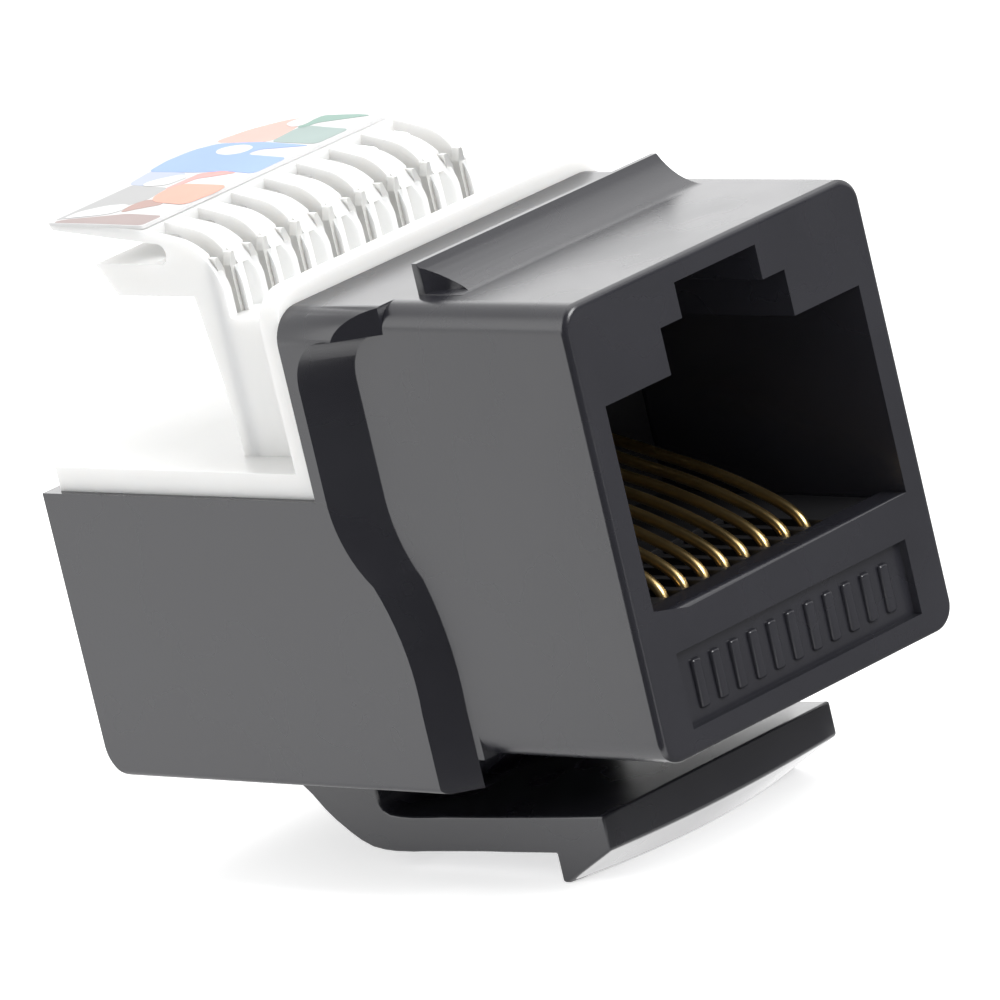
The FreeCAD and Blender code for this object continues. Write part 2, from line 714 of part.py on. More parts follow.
def make_label():
    """Colour code sticker on the upper prong."""
    body = new_body("wiring_label")
    sketch = new_sketch("label_profile", body)
    outline(sketch, [
        (LABEL_FRONT, LABEL_SEAT),
        (PRONG_TIP, PRONG_TOP),
        (PRONG_TIP, f"{PRONG_TOP} + label_thickness"),
        (LABEL_FRONT, f"{LABEL_SEAT} + label_thickness"),
    ])
    pad(body, sketch, "label_width", "label_sheet", both_ways=True)
    return body


# Build, check and write ----------------------------------------------------------------------------------

pieces = [make_housing(), make_latch(), make_carrier(), make_board(), make_block(), make_label()]
pieces += [make_contact(number) for number in range(1, WAYS + 1)]
pieces += [make_blade(number) for number in range(1, WAYS + 1)]
doc.recompute()

for item in doc.Objects:
    if "Invalid" in item.State or "Error" in item.State:
        raise RuntimeError(f"{item.Label} did not build: {item.State}")
for piece in pieces:
    if piece.Shape.isNull() or not piece.Shape.isValid():
        raise RuntimeError(f"{piece.Label} has no valid solid")

os.makedirs("parts", exist_ok=True)
for piece in pieces:
    piece.Shape.exportStep(f"parts/{piece.Label}.step")
    print(piece.Label, len(piece.Shape.Solids), round(piece.Shape.Volume, 2))
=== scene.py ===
import json
import math

import bpy
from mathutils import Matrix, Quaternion, Vector

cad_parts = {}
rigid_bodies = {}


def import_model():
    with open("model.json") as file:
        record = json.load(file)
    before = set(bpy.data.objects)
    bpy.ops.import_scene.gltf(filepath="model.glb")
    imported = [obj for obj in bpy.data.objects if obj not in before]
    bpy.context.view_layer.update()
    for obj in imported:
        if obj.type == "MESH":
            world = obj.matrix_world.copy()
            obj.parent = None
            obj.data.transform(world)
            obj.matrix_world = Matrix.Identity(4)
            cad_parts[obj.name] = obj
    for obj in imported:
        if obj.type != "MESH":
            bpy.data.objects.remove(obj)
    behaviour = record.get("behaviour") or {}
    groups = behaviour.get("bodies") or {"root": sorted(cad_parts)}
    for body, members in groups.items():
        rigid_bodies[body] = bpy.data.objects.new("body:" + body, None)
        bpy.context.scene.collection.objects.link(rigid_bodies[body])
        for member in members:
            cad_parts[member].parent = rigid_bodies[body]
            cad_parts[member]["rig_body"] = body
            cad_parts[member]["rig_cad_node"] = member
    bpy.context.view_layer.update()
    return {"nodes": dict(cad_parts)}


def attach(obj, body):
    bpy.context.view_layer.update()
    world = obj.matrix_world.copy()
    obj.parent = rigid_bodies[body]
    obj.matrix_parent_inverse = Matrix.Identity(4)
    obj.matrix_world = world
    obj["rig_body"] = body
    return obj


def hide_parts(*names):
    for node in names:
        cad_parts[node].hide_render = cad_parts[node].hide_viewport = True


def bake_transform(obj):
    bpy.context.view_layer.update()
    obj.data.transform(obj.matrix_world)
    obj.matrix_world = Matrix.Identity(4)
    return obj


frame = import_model()

# Housing -------------------------------------------------------------------------------------------------
# One injection moulding of black plastic: the nose with the plug port, the shoulder that stops against the
# back of the panel, the fixed ridge on top and the tray that carries the terminal block. The mould leaves
# its faces satin and its edges slightly round.

MM = 0.001
WELD = 0.002 * MM
TOUCH = 0.01 * MM
BLACK = (0.0185, 0.0185, 0.0235)
HOUSING_ROUND = 0.13 * MM
# degrees: the facets of the shoulder's curve meet at more than this and stay apart
HOUSING_CREASE = 22
NOSE_SIDE = 7.3 * MM
# where the shoulder's foot runs, from the front and in height
FOOT_DEPTHS = (8.5 * MM, 11.5 * MM)
FOOT_HEIGHTS = (1.0 * MM, 14.6 * MM)
FOOT_ROUND = 0.3 * MM
PORT_FLOOR = 5.1 * MM
LIP_HALF = 6.35 * MM
LIP_ROUND = 0.2 * MM
HOLLOW_RADIUS = 1.1 * MM
HOLLOW_HEIGHT = 1.4 * MM
HOLLOW_PLACE = (-6.4 * MM, 6.85 * MM, 16.27 * MM + HOLLOW_HEIGHT / 2)
# the latch is drawn as its own piece, so the housing ends where the latch's root begins
LATCH_ROOT_CUT = -1.0008 * MM
# the part of a noise pattern's range that is used
NOISE_LOW = 0.3
NOISE_HIGH = 0.7
# grains in one millimetre, and how strongly the fine ones show
FLOW_GRAINS = 0.22
SPARK_GRAINS = 9.0
SPARK_STRENGTH = 0.12
GLOSS_CHANGE = 0.03


def select_only(piece):
    """Deselect everything, then select one piece and make it the active one."""
    bpy.ops.object.select_all(action="DESELECT")
    piece.select_set(True)
    bpy.context.view_layer.objects.active = piece


def edit(piece, select="SELECT"):
    """Enter edit mode on one piece with its mesh selected or deselected."""
    select_only(piece)
    bpy.ops.object.mode_set(mode="EDIT")
    bpy.ops.mesh.select_mode(type="VERT")
    bpy.ops.mesh.select_all(action=select)


def leave_edit():
    """Go back to object mode."""
    bpy.ops.object.mode_set(mode="OBJECT")


def apply_bevel(piece, width, segments=3, angle=35):
    """Round every edge sharper than the angle, and shade the result smooth."""
    select_only(piece)
    rounding = piece.modifiers.new("rounding", "BEVEL")
    rounding.width = width
    rounding.segments = segments
    rounding.limit_method = "ANGLE"
    rounding.angle_limit = math.radians(angle)
    rounding.use_clamp_overlap = True
    bpy.ops.object.modifier_apply(modifier=rounding.name)
    bpy.ops.object.shade_smooth_by_angle(angle=math.radians(angle))
    flats = piece.modifiers.new("flats", "WEIGHTED_NORMAL")
    flats.keep_sharp = True
    bpy.ops.object.modifier_apply(modifier=flats.name)


def select_where(piece, kind, test):
    """Enter edit mode with only the corners or edges selected that pass a test."""
    edit(piece, "DESELECT")
    bpy.ops.mesh.select_mode(type=kind)
    leave_edit()
    items = {"VERT": piece.data.vertices, "EDGE": piece.data.edges}[kind]
    for item in items:
        item.select = test(item)
    bpy.ops.object.mode_set(mode="EDIT")


def both_ends(piece, test):
    """A test for an edge: both of its corners pass."""
    corners = piece.data.vertices
    return lambda edge: all(test(corners[end].co) for end in edge.vertices)


def welded_copy(node, name):
    """Copy a solid's loose triangles as a new piece, weld them and join the flat ones into whole faces."""
    select_only(frame["nodes"][node])
    bpy.ops.object.duplicate()
    piece = bpy.context.object
    bpy.ops.object.parent_clear(type="CLEAR_KEEP_TRANSFORM")
    del piece["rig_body"]
    del piece["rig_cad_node"]
    piece.name = name
    piece.data.name = name
    edit(piece)
    bpy.ops.mesh.remove_doubles(threshold=WELD)
    bpy.ops.mesh.dissolve_limited(angle_limit=math.radians(1))
    leave_edit()
    return piece


def new_material(name):
    """A new material, with its nodes and links."""
    material = bpy.data.materials.new(name)
    material.use_nodes = True
    return material, material.node_tree.nodes, material.node_tree.links


def object_noise(nodes, links, scale, detail=3.0, stretch=(1, 1, 1)):
    """Noise on the piece's own coordinates: scale is the number of grains in one millimetre."""
    place = nodes.new("ShaderNodeTexCoord")
    mapping = nodes.new("ShaderNodeMapping")
    mapping.inputs["Scale"].default_value = [side * scale / MM for side in stretch]
    noise = nodes.new("ShaderNodeTexNoise")
    noise.inputs["Scale"].default_value = 1.0
    noise.inputs["Detail"].default_value = detail
    links.new(place.outputs["Object"], mapping.inputs["Vector"])
    links.new(mapping.outputs["Vector"], noise.inputs["Vector"])
    return noise


def spread(nodes, links, source, low, high):
    """Map a noise pattern to a range of values."""
    span = nodes.new("ShaderNodeMapRange")
    span.inputs["From Min"].default_value = NOISE_LOW
    span.inputs["From Max"].default_value = NOISE_HIGH
    span.inputs["To Min"].default_value = low
    span.inputs["To Max"].default_value = high
    links.new(source, span.inputs["Value"])
    return span.outputs["Result"]


def tinted(nodes, links, source, colour, change):
    """Vary a colour by a share of itself, along a noise pattern."""
    ramp = nodes.new("ShaderNodeValToRGB")
    ramp.color_ramp.elements[0].position = NOISE_LOW
    ramp.color_ramp.elements[1].position = NOISE_HIGH
    ramp.color_ramp.elements[0].color = [side * (1 - change) for side in colour] + [1]
    ramp.color_ramp.elements[1].color = [side * (1 + change) for side in colour] + [1]
    links.new(source, ramp.inputs["Fac"])
    return ramp.outputs["Color"]


def moulded_plastic(name, colour, roughness, level, change=0.1, grain=0.02):
    """Moulded plastic: slow flow clouds in its colour and gloss, and a fine spark-eroded grain."""
    material, nodes, links = new_material(name)
    shader = nodes["Principled BSDF"]
    shader.inputs["Specular IOR Level"].default_value = level
    clouds = object_noise(nodes, links, FLOW_GRAINS)
    texture = object_noise(nodes, links, SPARK_GRAINS, detail=2.0)
    links.new(tinted(nodes, links, clouds.outputs["Fac"], colour, change), shader.inputs["Base Color"])
    gloss = spread(nodes, links, clouds.outputs["Fac"], roughness - GLOSS_CHANGE, roughness + GLOSS_CHANGE)
    links.new(gloss, shader.inputs["Roughness"])
    bump = nodes.new("ShaderNodeBump")
    bump.inputs["Strength"].default_value = SPARK_STRENGTH
    bump.inputs["Distance"].default_value = grain * MM
    links.new(texture.outputs["Fac"], bump.inputs["Height"])
    links.new(bump.outputs["Normal"], shader.inputs["Normal"])
    return material


def dress(piece, material):
    """Give a piece one material."""
    piece.data.materials.clear()
    piece.data.materials.append(material)


def at_shoulder_foot(place):
    """Whether a point lies on the line where the shoulder's curve meets a side of the nose."""
    return (abs(abs(place.x) - NOSE_SIDE) < TOUCH
            and FOOT_DEPTHS[0] < place.y < FOOT_DEPTHS[1]
            and FOOT_HEIGHTS[0] < place.z < FOOT_HEIGHTS[1])


def on_port_lip(place):
    """Whether a point lies on the front edge of the port's floor."""
    return abs(place.y) < TOUCH and abs(place.z - PORT_FLOOR) < TOUCH and abs(place.x) < LIP_HALF


black_plastic = moulded_plastic("black_moulded_plastic", BLACK, 0.27, 0.75)

housing = welded_copy("housing", "moulded_housing")
edit(housing)
bpy.ops.mesh.bisect(plane_co=(0, 0, LATCH_ROOT_CUT), plane_no=(0, 0, 1), clear_inner=True, use_fill=True)
leave_edit()

# the shoulder's foot is a soft hollow
select_where(housing, "EDGE", both_ends(housing, at_shoulder_foot))
bpy.ops.mesh.bevel(offset=FOOT_ROUND, segments=4, affect="EDGES", clamp_overlap=True)
leave_edit()

# the port's lower lip is worn round by plugs
select_where(housing, "EDGE", both_ends(housing, on_port_lip))
bpy.ops.mesh.bevel(offset=LIP_ROUND, segments=4, affect="EDGES")
leave_edit()

# a round core in the mould leaves the ridge's left end hollow
bpy.ops.object.select_all(action="DESELECT")
bpy.ops.mesh.primitive_cylinder_add(
    vertices=64, radius=HOLLOW_RADIUS, depth=HOLLOW_HEIGHT, location=HOLLOW_PLACE)
core = bpy.context.object
bpy.ops.object.transform_apply(location=True, rotation=True, scale=True)
select_only(housing)
hollow = housing.modifiers.new("hollow", "BOOLEAN")
hollow.operation = "DIFFERENCE"
hollow.object = core
bpy.ops.object.modifier_apply(modifier=hollow.name)
bpy.data.objects.remove(core)

apply_bevel(housing, HOUSING_ROUND, angle=HOUSING_CREASE)
dress(housing, black_plastic)
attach(housing, "jack")
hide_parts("housing")

# Panel latch ---------------------------------------------------------------------------------------------
# The sprung arm under the nose, moulded in one with the housing: it leaves the tray's floor in a round root
# and runs forward to a wedge hook that snaps behind the panel's lower lip.

LATCH_HALF = 5.75 * MM
LATCH_ROUND = 0.14 * MM
# degrees: only edges sharper than this are rounded
LATCH_CREASE = 30
# places on the arm's side are (distance from the front, height) in millimetres
HOOK_FRONT = (5.45, -3.7)
HOOK_EDGE = (7.95, -5.0)
LATCH_OUTLINE = [
    (5.45, -2.45), HOOK_FRONT, HOOK_EDGE, (8.2, -5.0), (8.2, -3.95), (12.0, -4.08), (15.4, -4.25),
    (16.3, -4.27), (16.9, -4.24), (17.45, -4.15), (17.95, -3.95), (18.45, -3.65), (18.95, -3.3),
    (19.45, -2.87), (19.95, -2.33), (20.3, -2.03), (20.8, -1.5), (21.3, -1.02), (21.3, -0.8), (16.55, -0.8),
    (16.55, -2.3), (16.54, -2.5), (16.42, -2.74), (16.15, -2.86), (15.6, -2.91), (15.0, -2.91),
    (13.6, -2.83), (11.9, -2.76),
]
# cuts along and across the arm, in millimetres, which divide it into loops and let its hook take a crown
ARM_CUTS = range(9, 20)
HOOK_CUTS = range(-5, 6)
HOOK_CROWN = 1.04 * MM
HOOK_SAG = 0.16 * MM


def drawn_face(name, corners):
    """Draw a face by extruding a vertex from corner to corner, and stay in edit mode with it selected."""
    bpy.ops.object.select_all(action="DESELECT")
    bpy.ops.mesh.primitive_plane_add(size=MM)
    piece = bpy.context.object
    piece.name = name
    piece.data.name = name
    edit(piece)
    bpy.ops.mesh.merge(type="CENTER")
    bpy.ops.transform.translate(value=corners[0])
    for start, end in zip(corners, corners[1:]):
        bpy.ops.mesh.extrude_vertices_move(TRANSFORM_OT_translate={"value": end - start})
    bpy.ops.mesh.select_all(action="SELECT")
    bpy.ops.mesh.edge_face_add()
    return piece


def extrude_solid(way):
    """Extrude the selected face into a closed solid, turn its faces outward and leave edit mode."""
    bpy.ops.mesh.extrude_region_move(TRANSFORM_OT_translate={"value": way})
    bpy.ops.mesh.select_all(action="SELECT")
    bpy.ops.mesh.normals_make_consistent(inside=False)
    leave_edit()


def corner_at(across, spot):
    """A test for a corner of the latch: it lies at one place across and one place on the arm's side."""
    place = Vector((across, spot[0] * MM, spot[1] * MM))
    return lambda corner: (corner.co - place).length < TOUCH


latch = drawn_face("latch_arm", [Vector((-LATCH_HALF, y * MM, z * MM)) for y, z in LATCH_OUTLINE])
extrude_solid((2 * LATCH_HALF, 0, 0))
edit(latch)
for cut in ARM_CUTS:
    bpy.ops.mesh.select_all(action="SELECT")
    bpy.ops.mesh.bisect(plane_co=(0, cut * MM, 0), plane_no=(0, 1, 0))
leave_edit()
for cut in HOOK_CUTS:
    edit(latch)
    bpy.ops.mesh.bisect(plane_co=(cut * MM, 0, 0), plane_no=(1, 0, 0))
    leave_edit()

# the hook's edge is crowned: it stands furthest forward, and its front hangs lowest, in the middle
for cut in HOOK_CUTS:
    share = 1 - (cut * MM / LATCH_HALF) ** 2
    select_where(latch, "VERT", corner_at(cut * MM, HOOK_EDGE))
    bpy.ops.transform.translate(value=(0, -HOOK_CROWN * share, 0))
    leave_edit()
    select_where(latch, "VERT", corner_at(cut * MM, HOOK_FRONT))
    bpy.ops.transform.translate(value=(0, 0, -HOOK_SAG * share))
    leave_edit()

apply_bevel(latch, LATCH_ROUND, angle=LATCH_CREASE)
dress(latch, black_plastic)
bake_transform(latch)
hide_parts("panel_latch")

# Marking recess ------------------------------------------------------------------------------------------
# A shallow sunk field under the port for moulded marks. It holds a plain row of soft upright ribs.

RECESS_FLOOR = 0.35 * MM
RIBS = 11
RIB_PITCH = 0.94 * MM
RIB_SIZE = (0.46 * MM, 0.3 * MM, 1.75 * MM)
RIB_RISE = 0.15 * MM
RIB_MIDDLE = 2.2 * MM
RIB_ROUND = 0.12 * MM
FIRST_RIB = (-(RIBS - 1) / 2 * RIB_PITCH, RECESS_FLOOR - RIB_RISE + RIB_SIZE[1] / 2, RIB_MIDDLE)

bpy.ops.object.select_all(action="DESELECT")
bpy.ops.mesh.primitive_cube_add(size=1, scale=RIB_SIZE, location=FIRST_RIB)
marking = bpy.context.object
marking.name = "marking_ribs"
marking.data.name = "marking_ribs"
bpy.ops.object.transform_apply(location=True, rotation=True, scale=True)
apply_bevel(marking, RIB_ROUND, segments=5)
row = marking.modifiers.new("row", "ARRAY")
row.count = RIBS
row.use_relative_offset = False
row.use_constant_offset = True
row.constant_offset_displace = (RIB_PITCH, 0, 0)
bpy.ops.object.modifier_apply(modifier=row.name)
dress(marking, black_plastic)
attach(marking, "jack")

# Contact carrier -----------------------------------------------------------------------------------------
# A separate black insert behind the port that combs the eight springs apart and holds their roots.

CARRIER_BLACK = (0.018, 0.018, 0.02)
CARRIER_ROUND = 0.04 * MM

carrier_plastic = moulded_plastic("carrier_moulded_plastic", CARRIER_BLACK, 0.5, 0.3, grain=0.03)
carrier = welded_copy("contact_carrier", "spring_carrier")
apply_bevel(carrier, CARRIER_ROUND, segments=2)
dress(carrier, carrier_plastic)
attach(carrier, "jack")
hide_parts("contact_carrier")

# Contact springs -----------------------------------------------------------------------------------------
# Eight round wires of gold-plated bronze, each curled down at its front end and rooted in the carrier. A
# plug presses them down, so each one turns about its root.

WAYS = 8
SPRING_PITCH = 1.02 * MM
SPRING_RADIUS = 0.2 * MM
GOLD = (0.85, 0.62, 0.28)
TARNISH_GRAINS = 0.25
TARNISH_CHANGE = 0.06
# the drawing lines: how many fill a millimetre, how far they stretch, how deep they are, and how they
# change the roughness
DRAWN_GRAINS = 5.0
DRAWN_STRETCH = (1, 0.04, 0.1)
DRAWN_DEPTH = 0.002 * MM
DRAWN_GLOSS = (-0.02, 0.03)
# degrees: the wire's round is smooth, and its cut ends are sharp
WIRE_CREASE = 50
# the wire's middle line from its tip to its root, as (distance from the front, height) in millimetres
SPRING_LINE = [
    (2.3, 4.35), (2.35, 4.75), (2.55, 5.1), (2.95, 5.4), (3.5, 5.68), (4.3, 6.0), (5.4, 6.4), (7.0, 6.86),
    (8.6, 7.22), (9.8, 7.53), (12.0, 8.0),
]


def plated_wire(name, colour, roughness):
    """Polished plating with faint drawing lines along the wire and slow tarnish."""
    material, nodes, links = new_material(name)
    shader = nodes["Principled BSDF"]
    shader.inputs["Metallic"].default_value = 1.0
    tarnish = object_noise(nodes, links, TARNISH_GRAINS)
    lines = object_noise(nodes, links, DRAWN_GRAINS, detail=1.0, stretch=DRAWN_STRETCH)
    hue = tinted(nodes, links, tarnish.outputs["Fac"], colour, TARNISH_CHANGE)
    gloss = spread(nodes, links, lines.outputs["Fac"],
                   roughness + DRAWN_GLOSS[0], roughness + DRAWN_GLOSS[1])
    links.new(hue, shader.inputs["Base Color"])
    links.new(gloss, shader.inputs["Roughness"])
    bump = nodes.new("ShaderNodeBump")
    bump.inputs["Strength"].default_value = 0.1
    bump.inputs["Distance"].default_value = DRAWN_DEPTH
    links.new(lines.outputs["Fac"], bump.inputs["Height"])
    links.new(bump.outputs["Normal"], shader.inputs["Normal"])
    return material


def bent_wire(name, line, radius, across):
    """A round wire along a smooth line at one place across the port, as a closed mesh."""
    bpy.ops.object.select_all(action="DESELECT")
    bpy.ops.curve.primitive_nurbs_path_add()
    wire = bpy.context.object
    curve = wire.data
    curve.splines.clear()
    spline = curve.splines.new("NURBS")
    spline.points.add(len(line) - 1)
    for point, (y, z) in zip(spline.points, line):
        point.co = (across, y * MM, z * MM, 1)
    spline.order_u = 3
    spline.use_endpoint_u = True
    spline.resolution_u = 6
    curve.bevel_depth = radius
    curve.bevel_resolution = 4
    curve.use_fill_caps = True
    bpy.ops.object.convert(target="MESH")
    wire = bpy.context.object
    wire.name = name
    wire.data.name = name
    edit(wire)
    bpy.ops.mesh.remove_doubles(threshold=WELD / 4)
    bpy.ops.mesh.normals_make_consistent(inside=False)
    leave_edit()
    bpy.ops.object.shade_smooth_by_angle(angle=math.radians(WIRE_CREASE))
    return wire


gold = plated_wire("gold_plating", GOLD, 0.3)
for way in range(1, WAYS + 1):
    across = (way - (WAYS + 1) / 2) * SPRING_PITCH
    spring = bent_wire(f"spring_wire_{way}", SPRING_LINE, SPRING_RADIUS, across)
    dress(spring, gold)
    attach(spring, f"spring_{way}")
    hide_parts(f"contact_{way}")

# Circuit board -------------------------------------------------------------------------------------------
# A small board in the tray that joins the springs to the terminal blades, under green solder mask.

MASK_GREEN = (0.015, 0.12, 0.05, 1)
TRACK_GREEN = (0.035, 0.22, 0.09, 1)
# tracks in one millimetre
TRACK_COUNT = 0.32

board_mask, nodes, links = new_material("solder_mask")
shader = nodes["Principled BSDF"]
shader.inputs["Coat Weight"].default_value = 0.4
shader.inputs["Roughness"].default_value = 0.4
place = nodes.new("ShaderNodeTexCoord")
tracks = nodes.new("ShaderNodeTexWave")
tracks.inputs["Scale"].default_value = TRACK_COUNT / MM
tracks.inputs["Distortion"].default_value = 1.2
tracks.inputs["Detail Scale"].default_value = 0.4
copper = nodes.new("ShaderNodeValToRGB")
copper.color_ramp.elements[0].position = 0.45
copper.color_ramp.elements[1].position = 0.55
copper.color_ramp.elements[0].color = MASK_GREEN
copper.color_ramp.elements[1].color = TRACK_GREEN
links.new(place.outputs["Object"], tracks.inputs["Vector"])
links.new(tracks.outputs["Fac"], copper.inputs["Fac"])
links.new(copper.outputs["Color"], shader.inputs["Base Color"])
dress(frame["nodes"]["circuit_board"], board_mask)

# Terminal block ------------------------------------------------------------------------------------------
# One white moulding: a foot that fills the tray, a collar that closes the back of the housing and a row of
# columns. Wires are pushed down between the columns onto the blades.

BLOCK_WHITE = (0.77, 0.77, 0.76)
BLOCK_ROUND = 0.2 * MM

white_plastic = moulded_plastic("white_moulded_plastic", BLOCK_WHITE, 0.42, 0.4, change=0.02, grain=0.015)
shader = white_plastic.node_tree.nodes["Principled BSDF"]
shader.inputs["Subsurface Weight"].default_value = 0.6
shader.inputs["Subsurface Radius"].default_value = (1.0, 0.95, 0.9)
shader.inputs["Subsurface Scale"].default_value = 0.9 * MM

block = welded_copy("terminal_block", "moulded_terminal_block")
apply_bevel(block, BLOCK_ROUND, segments=4)
dress(block, white_plastic)
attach(block, "jack")
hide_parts("terminal_block")

# Terminal blades -----------------------------------------------------------------------------------------
# Slotted forks of tin-plated bronze sheet in the columns. Each cuts a wire's insulation and grips its core.

TIN = (0.88, 0.88, 0.87)

tin = plated_wire("tin_plating", TIN, 0.5)
for way in range(1, WAYS + 1):
    dress(frame["nodes"][f"terminal_blade_{way}"], tin)

# Colour code label ---------------------------------------------------------------------------------------
# A printed film on the fork's upper prong. Its fields show which wire goes into which slot; the inks are
# pale and laid on the white film one over the other, with slanted round edges.

FILM_THICKNESS = 0.12 * MM
# the film is drawn flat, tilted about this line and lifted to the prong
FILM_HINGE = (0, 21.2 * MM, 0)
FILM_HEIGHT = 18.68 * MM
FILM_SLOPE = math.radians(1.95)
FILM_CORNER = 0.12 * MM
FILM_WHITE = (0.66, 0.66, 0.66)
LEAF_WHITE = (0.71, 0.71, 0.71)
INK_THICKNESS = 0.006 * MM
INK_CORNER = 0.35 * MM
# outlines on the film, as (across, distance from the front) in millimetres
FILM_OUTLINE = [
    (-6.45, 25.55), (-6.3, 23.4), (-6.2, 21.0), (0.0, 21.15), (6.1, 21.2), (6.12, 22.6), (5.75, 24.2),
    (5.2, 25.2), (4.0, 26.0), (2.2, 26.55), (0.4, 26.75), (-1.6, 26.7), (-3.6, 26.4), (-5.2, 26.0),
]
# each ink field: its name, its colour, its layer and its outline
INK_FIELDS = [
    ("brown", (0.42, 0.35, 0.34), 1, [
        (-6.4, 25.4), (-6.25, 23.4), (-6.15, 21.1), (-5.1, 21.1), (-5.1, 22.9), (-5.5, 23.8),
        (-6.05, 25.2)]),
    ("grey", (0.47, 0.47, 0.47), 1, [
        (-6.2, 25.5), (-6.0, 25.25), (-4.5, 24.4), (-4.3, 23.7), (-3.6, 23.4), (-2.35, 23.7),
        (-2.3, 25.6)]),
    ("dark_brown", (0.48, 0.34, 0.31), 2, [
        (-5.1, 23.35), (-4.6, 22.9), (-4.0, 22.2), (-3.7, 22.6), (-3.6, 23.4), (-4.2, 23.6)]),
    ("orange", (0.74, 0.42, 0.34), 3, [
        (-3.95, 21.2), (-2.6, 21.0), (-1.8, 21.2), (-1.85, 22.6), (-1.9, 23.4), (-2.5, 23.6),
        (-3.4, 23.4), (-3.85, 22.9)]),
    ("red", (0.75, 0.4, 0.38), 2, [
        (-2.6, 23.45), (-1.3, 23.3), (-1.0, 22.8), (-0.5, 22.1), (-0.4, 22.9), (-0.8, 23.7),
        (-2.5, 23.72)]),
    ("blue_grey", (0.5, 0.54, 0.66), 1, [
        (-2.3, 24.4), (-0.8, 24.2), (-0.7, 26.2), (-2.3, 25.85)]),
    ("blue", (0.34, 0.46, 0.82), 2, [
        (-0.5, 21.25), (1.25, 21.3), (1.35, 23.5), (1.9, 23.5), (2.6, 21.5), (2.7, 24.0), (2.3, 25.9),
        (1.5, 26.4), (0.3, 26.5), (-0.9, 26.25), (-0.7, 24.0), (-0.4, 22.6)]),
    ("far_orange", (0.7, 0.48, 0.43), 1, [
        (2.75, 23.8), (3.6, 23.75), (4.3, 24.0), (5.45, 24.4), (5.1, 25.2), (3.9, 25.95), (2.4, 26.3),
        (2.5, 24.8)]),
    ("green", (0.38, 0.46, 0.44), 2, [
        (2.8, 21.4), (4.45, 21.4), (4.5, 22.6), (4.6, 23.6), (4.2, 23.9), (2.75, 23.7), (2.75, 22.4)]),
    ("dark_green", (0.31, 0.44, 0.39), 2, [
        (4.3, 23.6), (4.9, 23.55), (5.6, 22.4), (5.95, 21.8), (6.0, 22.5), (5.7, 24.0), (4.3, 24.0)]),
    ("left_leaf", LEAF_WHITE, 3, [
        (-6.0, 25.3), (-5.4, 23.9), (-5.05, 23.5), (-4.4, 23.5), (-4.2, 23.9), (-4.45, 24.6),
        (-5.2, 25.25)]),
    ("middle_leaf", LEAF_WHITE, 3, [
        (-2.1, 24.0), (-1.2, 23.85), (-0.95, 24.4), (-1.3, 24.75), (-1.7, 25.1), (-2.2, 25.2),
        (-2.4, 24.8)]),
    ("blue_leaf", LEAF_WHITE, 3, [
        (1.15, 24.3), (1.5, 23.8), (2.1, 23.85), (2.35, 24.5), (2.1, 25.1), (1.7, 25.35), (1.25, 25.0)]),
    ("right_leaf", (0.74, 0.71, 0.71), 3, [
        (4.3, 24.2), (4.6, 23.9), (5.3, 24.0), (5.5, 24.4), (5.2, 24.8), (4.6, 24.85)]),
]


def flat_outline(name, outline, thickness, corner):
    """A sheet with rounded corners whose top is an outline at height zero."""
    piece = drawn_face(name, [Vector((x * MM, y * MM, 0)) for x, y in outline])
    bpy.ops.mesh.bevel(offset=corner, segments=4, affect="VERTICES", clamp_overlap=True)
    bpy.ops.mesh.select_all(action="SELECT")
    extrude_solid((0, 0, -thickness))
    return piece


label = flat_outline("label_film", FILM_OUTLINE, FILM_THICKNESS, FILM_CORNER)
dress(label, moulded_plastic("white_film", FILM_WHITE, 0.5, 0.15, change=0.02, grain=0.004))
sheets = [label]
for name, colour, layer, outline in INK_FIELDS:
    sheet = flat_outline(name, outline, INK_THICKNESS, INK_CORNER)
    dress(sheet, moulded_plastic(f"{name}_ink", colour, 0.6, 0.08, change=0.05, grain=0.004))
    edit(sheet)
    bpy.ops.transform.translate(value=(0, 0, layer * INK_THICKNESS))
    leave_edit()
    sheets.append(sheet)
bpy.ops.object.select_all(action="DESELECT")
for sheet in sheets:
    sheet.select_set(True)
bpy.context.view_layer.objects.active = label
bpy.ops.object.join()
edit(label)
bpy.ops.transform.rotate(value=-FILM_SLOPE, orient_axis="X", center_override=FILM_HINGE)
bpy.ops.transform.translate(value=(0, 0, FILM_HEIGHT))
leave_edit()
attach(label, "jack")
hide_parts("wiring_label")

# Studio --------------------------------------------------------------------------------------------------
# A white floor under the hook, a white room, four soft lamps, cards that only the glossy faces mirror, and
# a long lens.

FLOOR_SIZE = 6
FLOOR_HEIGHT = -5.0 * MM
# how bright the floor glows by itself where it is seen, and where a glossy face mirrors it
FLOOR_SEEN = 0.55
FLOOR_MIRRORED = 0.42
# how bright the room lights matt faces, and how bright it looks
ROOM_LIGHT = 0.76
ROOM_SEEN = 1.0
AIM = Vector((-0.47, 12.72, 6.88)) * MM
CAMERA_DISTANCE = 413.2 * MM
CAMERA_AZIMUTH = math.radians(41.79)
CAMERA_ELEVATION = math.radians(14.22)
CAMERA_ROLL = math.radians(13.37)
SENSOR_WIDTH = 36
LENS = 432


def any_ray(nodes, links, kinds):
    """One for a ray of any of these kinds, and zero for every other ray."""
    ray = nodes.new("ShaderNodeLightPath")
    found = ray.outputs[kinds[0]]
    for kind in kinds[1:]:
        either = nodes.new("ShaderNodeMath")
        either.operation = "MAXIMUM"
        links.new(found, either.inputs[0])
        links.new(ray.outputs[kind], either.inputs[1])
        found = either.outputs["Value"]
    return found


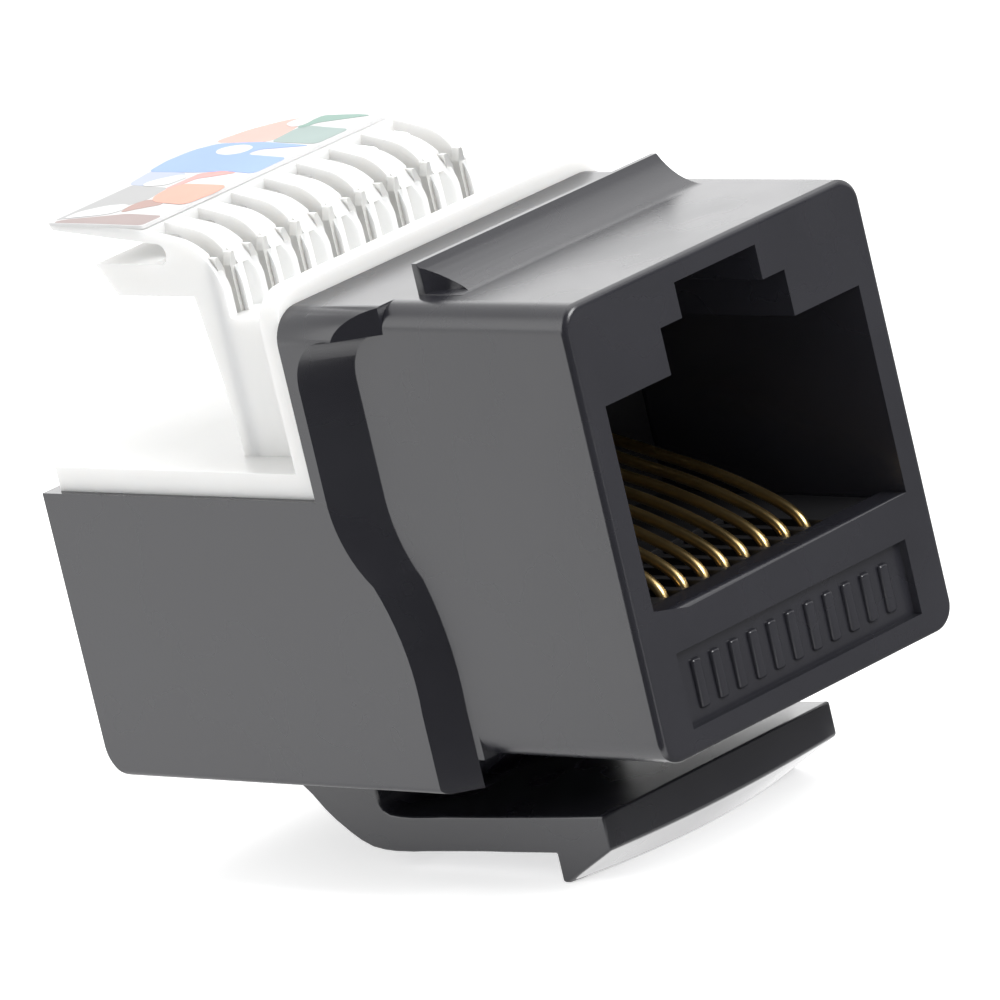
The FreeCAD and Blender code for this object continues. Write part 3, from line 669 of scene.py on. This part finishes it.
bpy.ops.object.select_all(action="DESELECT")
bpy.ops.mesh.primitive_plane_add(size=FLOOR_SIZE, location=(0, 0, FLOOR_HEIGHT))
floor = bpy.context.object
floor.name = "floor"
floor_paint, nodes, links = new_material("floor_paint")
shader = nodes["Principled BSDF"]
shader.inputs["Base Color"].default_value = (0.82, 0.82, 0.82, 1)
shader.inputs["Roughness"].default_value = 0.9
shader.inputs["Specular IOR Level"].default_value = 0.1
mirrored = nodes.new("ShaderNodeMath")
mirrored.operation = "MULTIPLY"
mirrored.inputs[1].default_value = FLOOR_MIRRORED
links.new(any_ray(nodes, links, ["Is Glossy Ray"]), mirrored.inputs[0])
lift = nodes.new("ShaderNodeMath")
lift.operation = "MULTIPLY_ADD"
lift.inputs[1].default_value = FLOOR_SEEN
links.new(any_ray(nodes, links, ["Is Camera Ray", "Is Transmission Ray"]), lift.inputs[0])
links.new(mirrored.outputs["Value"], lift.inputs[2])
shader.inputs["Emission Color"].default_value = (1, 1, 1, 1)
links.new(lift.outputs["Value"], shader.inputs["Emission Strength"])
dress(floor, floor_paint)

world = bpy.data.worlds.new("studio")
bpy.context.scene.world = world
world.use_nodes = True
nodes = world.node_tree.nodes
links = world.node_tree.links
backdrop = nodes["Background"]
backdrop.inputs["Color"].default_value = (1, 1, 1, 1)
glow = nodes.new("ShaderNodeMapRange")
glow.inputs["To Min"].default_value = ROOM_LIGHT
glow.inputs["To Max"].default_value = ROOM_SEEN
seen = any_ray(nodes, links, ["Is Camera Ray", "Is Glossy Ray", "Is Transmission Ray"])
links.new(seen, glow.inputs["Value"])
links.new(glow.outputs["Result"], backdrop.inputs["Strength"])


def soft_lamp(name, place, size, power):
    """A square soft box turned to the jack: place and size in millimetres, power in watts."""
    lamp = bpy.data.objects.new(name, bpy.data.lights.new(name, "AREA"))
    bpy.context.scene.collection.objects.link(lamp)
    lamp.data.shape = "SQUARE"
    lamp.data.size = size * MM
    lamp.data.energy = power
    lamp.location = Vector(place) * MM
    lamp.rotation_euler = (AIM - lamp.location).to_track_quat("-Z", "Y").to_euler()


soft_lamp("left_box", (-360, 250, 190), 320, 0.42)
soft_lamp("top_box", (190, 70, 400), 420, 0.6)
soft_lamp("front_box", (60, -380, 330), 260, 2.2)
soft_lamp("back_box", (212, 394, 130), 300, 0.4)


def card_paper(name, brightness):
    """Matt paper that gives off its own even light."""
    paper, nodes, _ = new_material(name)
    shader = nodes["Principled BSDF"]
    shader.inputs["Base Color"].default_value = (0.01, 0.01, 0.01, 1)
    shader.inputs["Roughness"].default_value = 1.0
    shader.inputs["Specular IOR Level"].default_value = 0.0
    shader.inputs["Emission Color"].default_value = (1, 1, 1, 1)
    shader.inputs["Emission Strength"].default_value = brightness
    return paper


def card(name, corners, paper):
    """A card that only shows in reflections, with its corners in millimetres."""
    piece = drawn_face(name, [Vector(corner) * MM for corner in corners])
    leave_edit()
    piece.visible_camera = False
    piece.visible_diffuse = False
    piece.visible_shadow = False
    piece.visible_transmission = False
    dress(piece, paper)


black_paper = card_paper("black_paper", 0.0)
grey_paper = card_paper("grey_paper", 0.25)
white_paper = card_paper("white_paper", 2.2)

# cards on the floor, under the latch, to the left of the jack and before its port
card("hook_card", [(-5.5, 5.4, -4.95), (9, 5.4, -4.95), (9, 16, -4.95), (-5.5, 16, -4.95)], white_paper)
card("left_card",
     [(-20, 9, -4.8), (-600, 479, -4.8), (-900, -700, -4.8), (-14, -700, -4.8), (-14, 3, -4.8)],
     black_paper)
card("front_card",
     [(-9, 4.2, -4.7), (-9, -700, -4.7), (900, -700, -4.7), (900, -8, -4.7), (30, 4.2, -4.7)],
     grey_paper)
# cards beyond the lamps, to the left, above and far in front
card("left_wall_card",
     [(-500, -700, -5), (-500, 110, -5), (-500, 110, 560), (-500, -700, 560)], black_paper)
card("roof_card",
     [(-500, -700, 560), (-500, 130, 560), (-110, 130, 560), (-110, -700, 560)], black_paper)
card("front_wall_card",
     [(-900, -700, -5), (900, -700, -5), (900, -700, 600), (-900, -700, 600)], black_paper)

camera = bpy.data.objects.new("camera", bpy.data.cameras.new("camera"))
bpy.context.scene.collection.objects.link(camera)
forward = Vector((math.sin(CAMERA_AZIMUTH) * math.cos(CAMERA_ELEVATION),
                  math.cos(CAMERA_AZIMUTH) * math.cos(CAMERA_ELEVATION),
                  -math.sin(CAMERA_ELEVATION)))
camera.location = AIM - forward * CAMERA_DISTANCE
level = forward.to_track_quat("-Z", "Y")
camera.rotation_euler = (level @ Quaternion((0, 0, 1), -CAMERA_ROLL)).to_euler()
camera.data.sensor_width = SENSOR_WIDTH
camera.data.lens = LENS
camera.data.clip_start = 0.01
camera.data.clip_end = 20
bpy.context.scene.camera = camera
bpy.context.scene.view_settings.view_transform = "Standard"
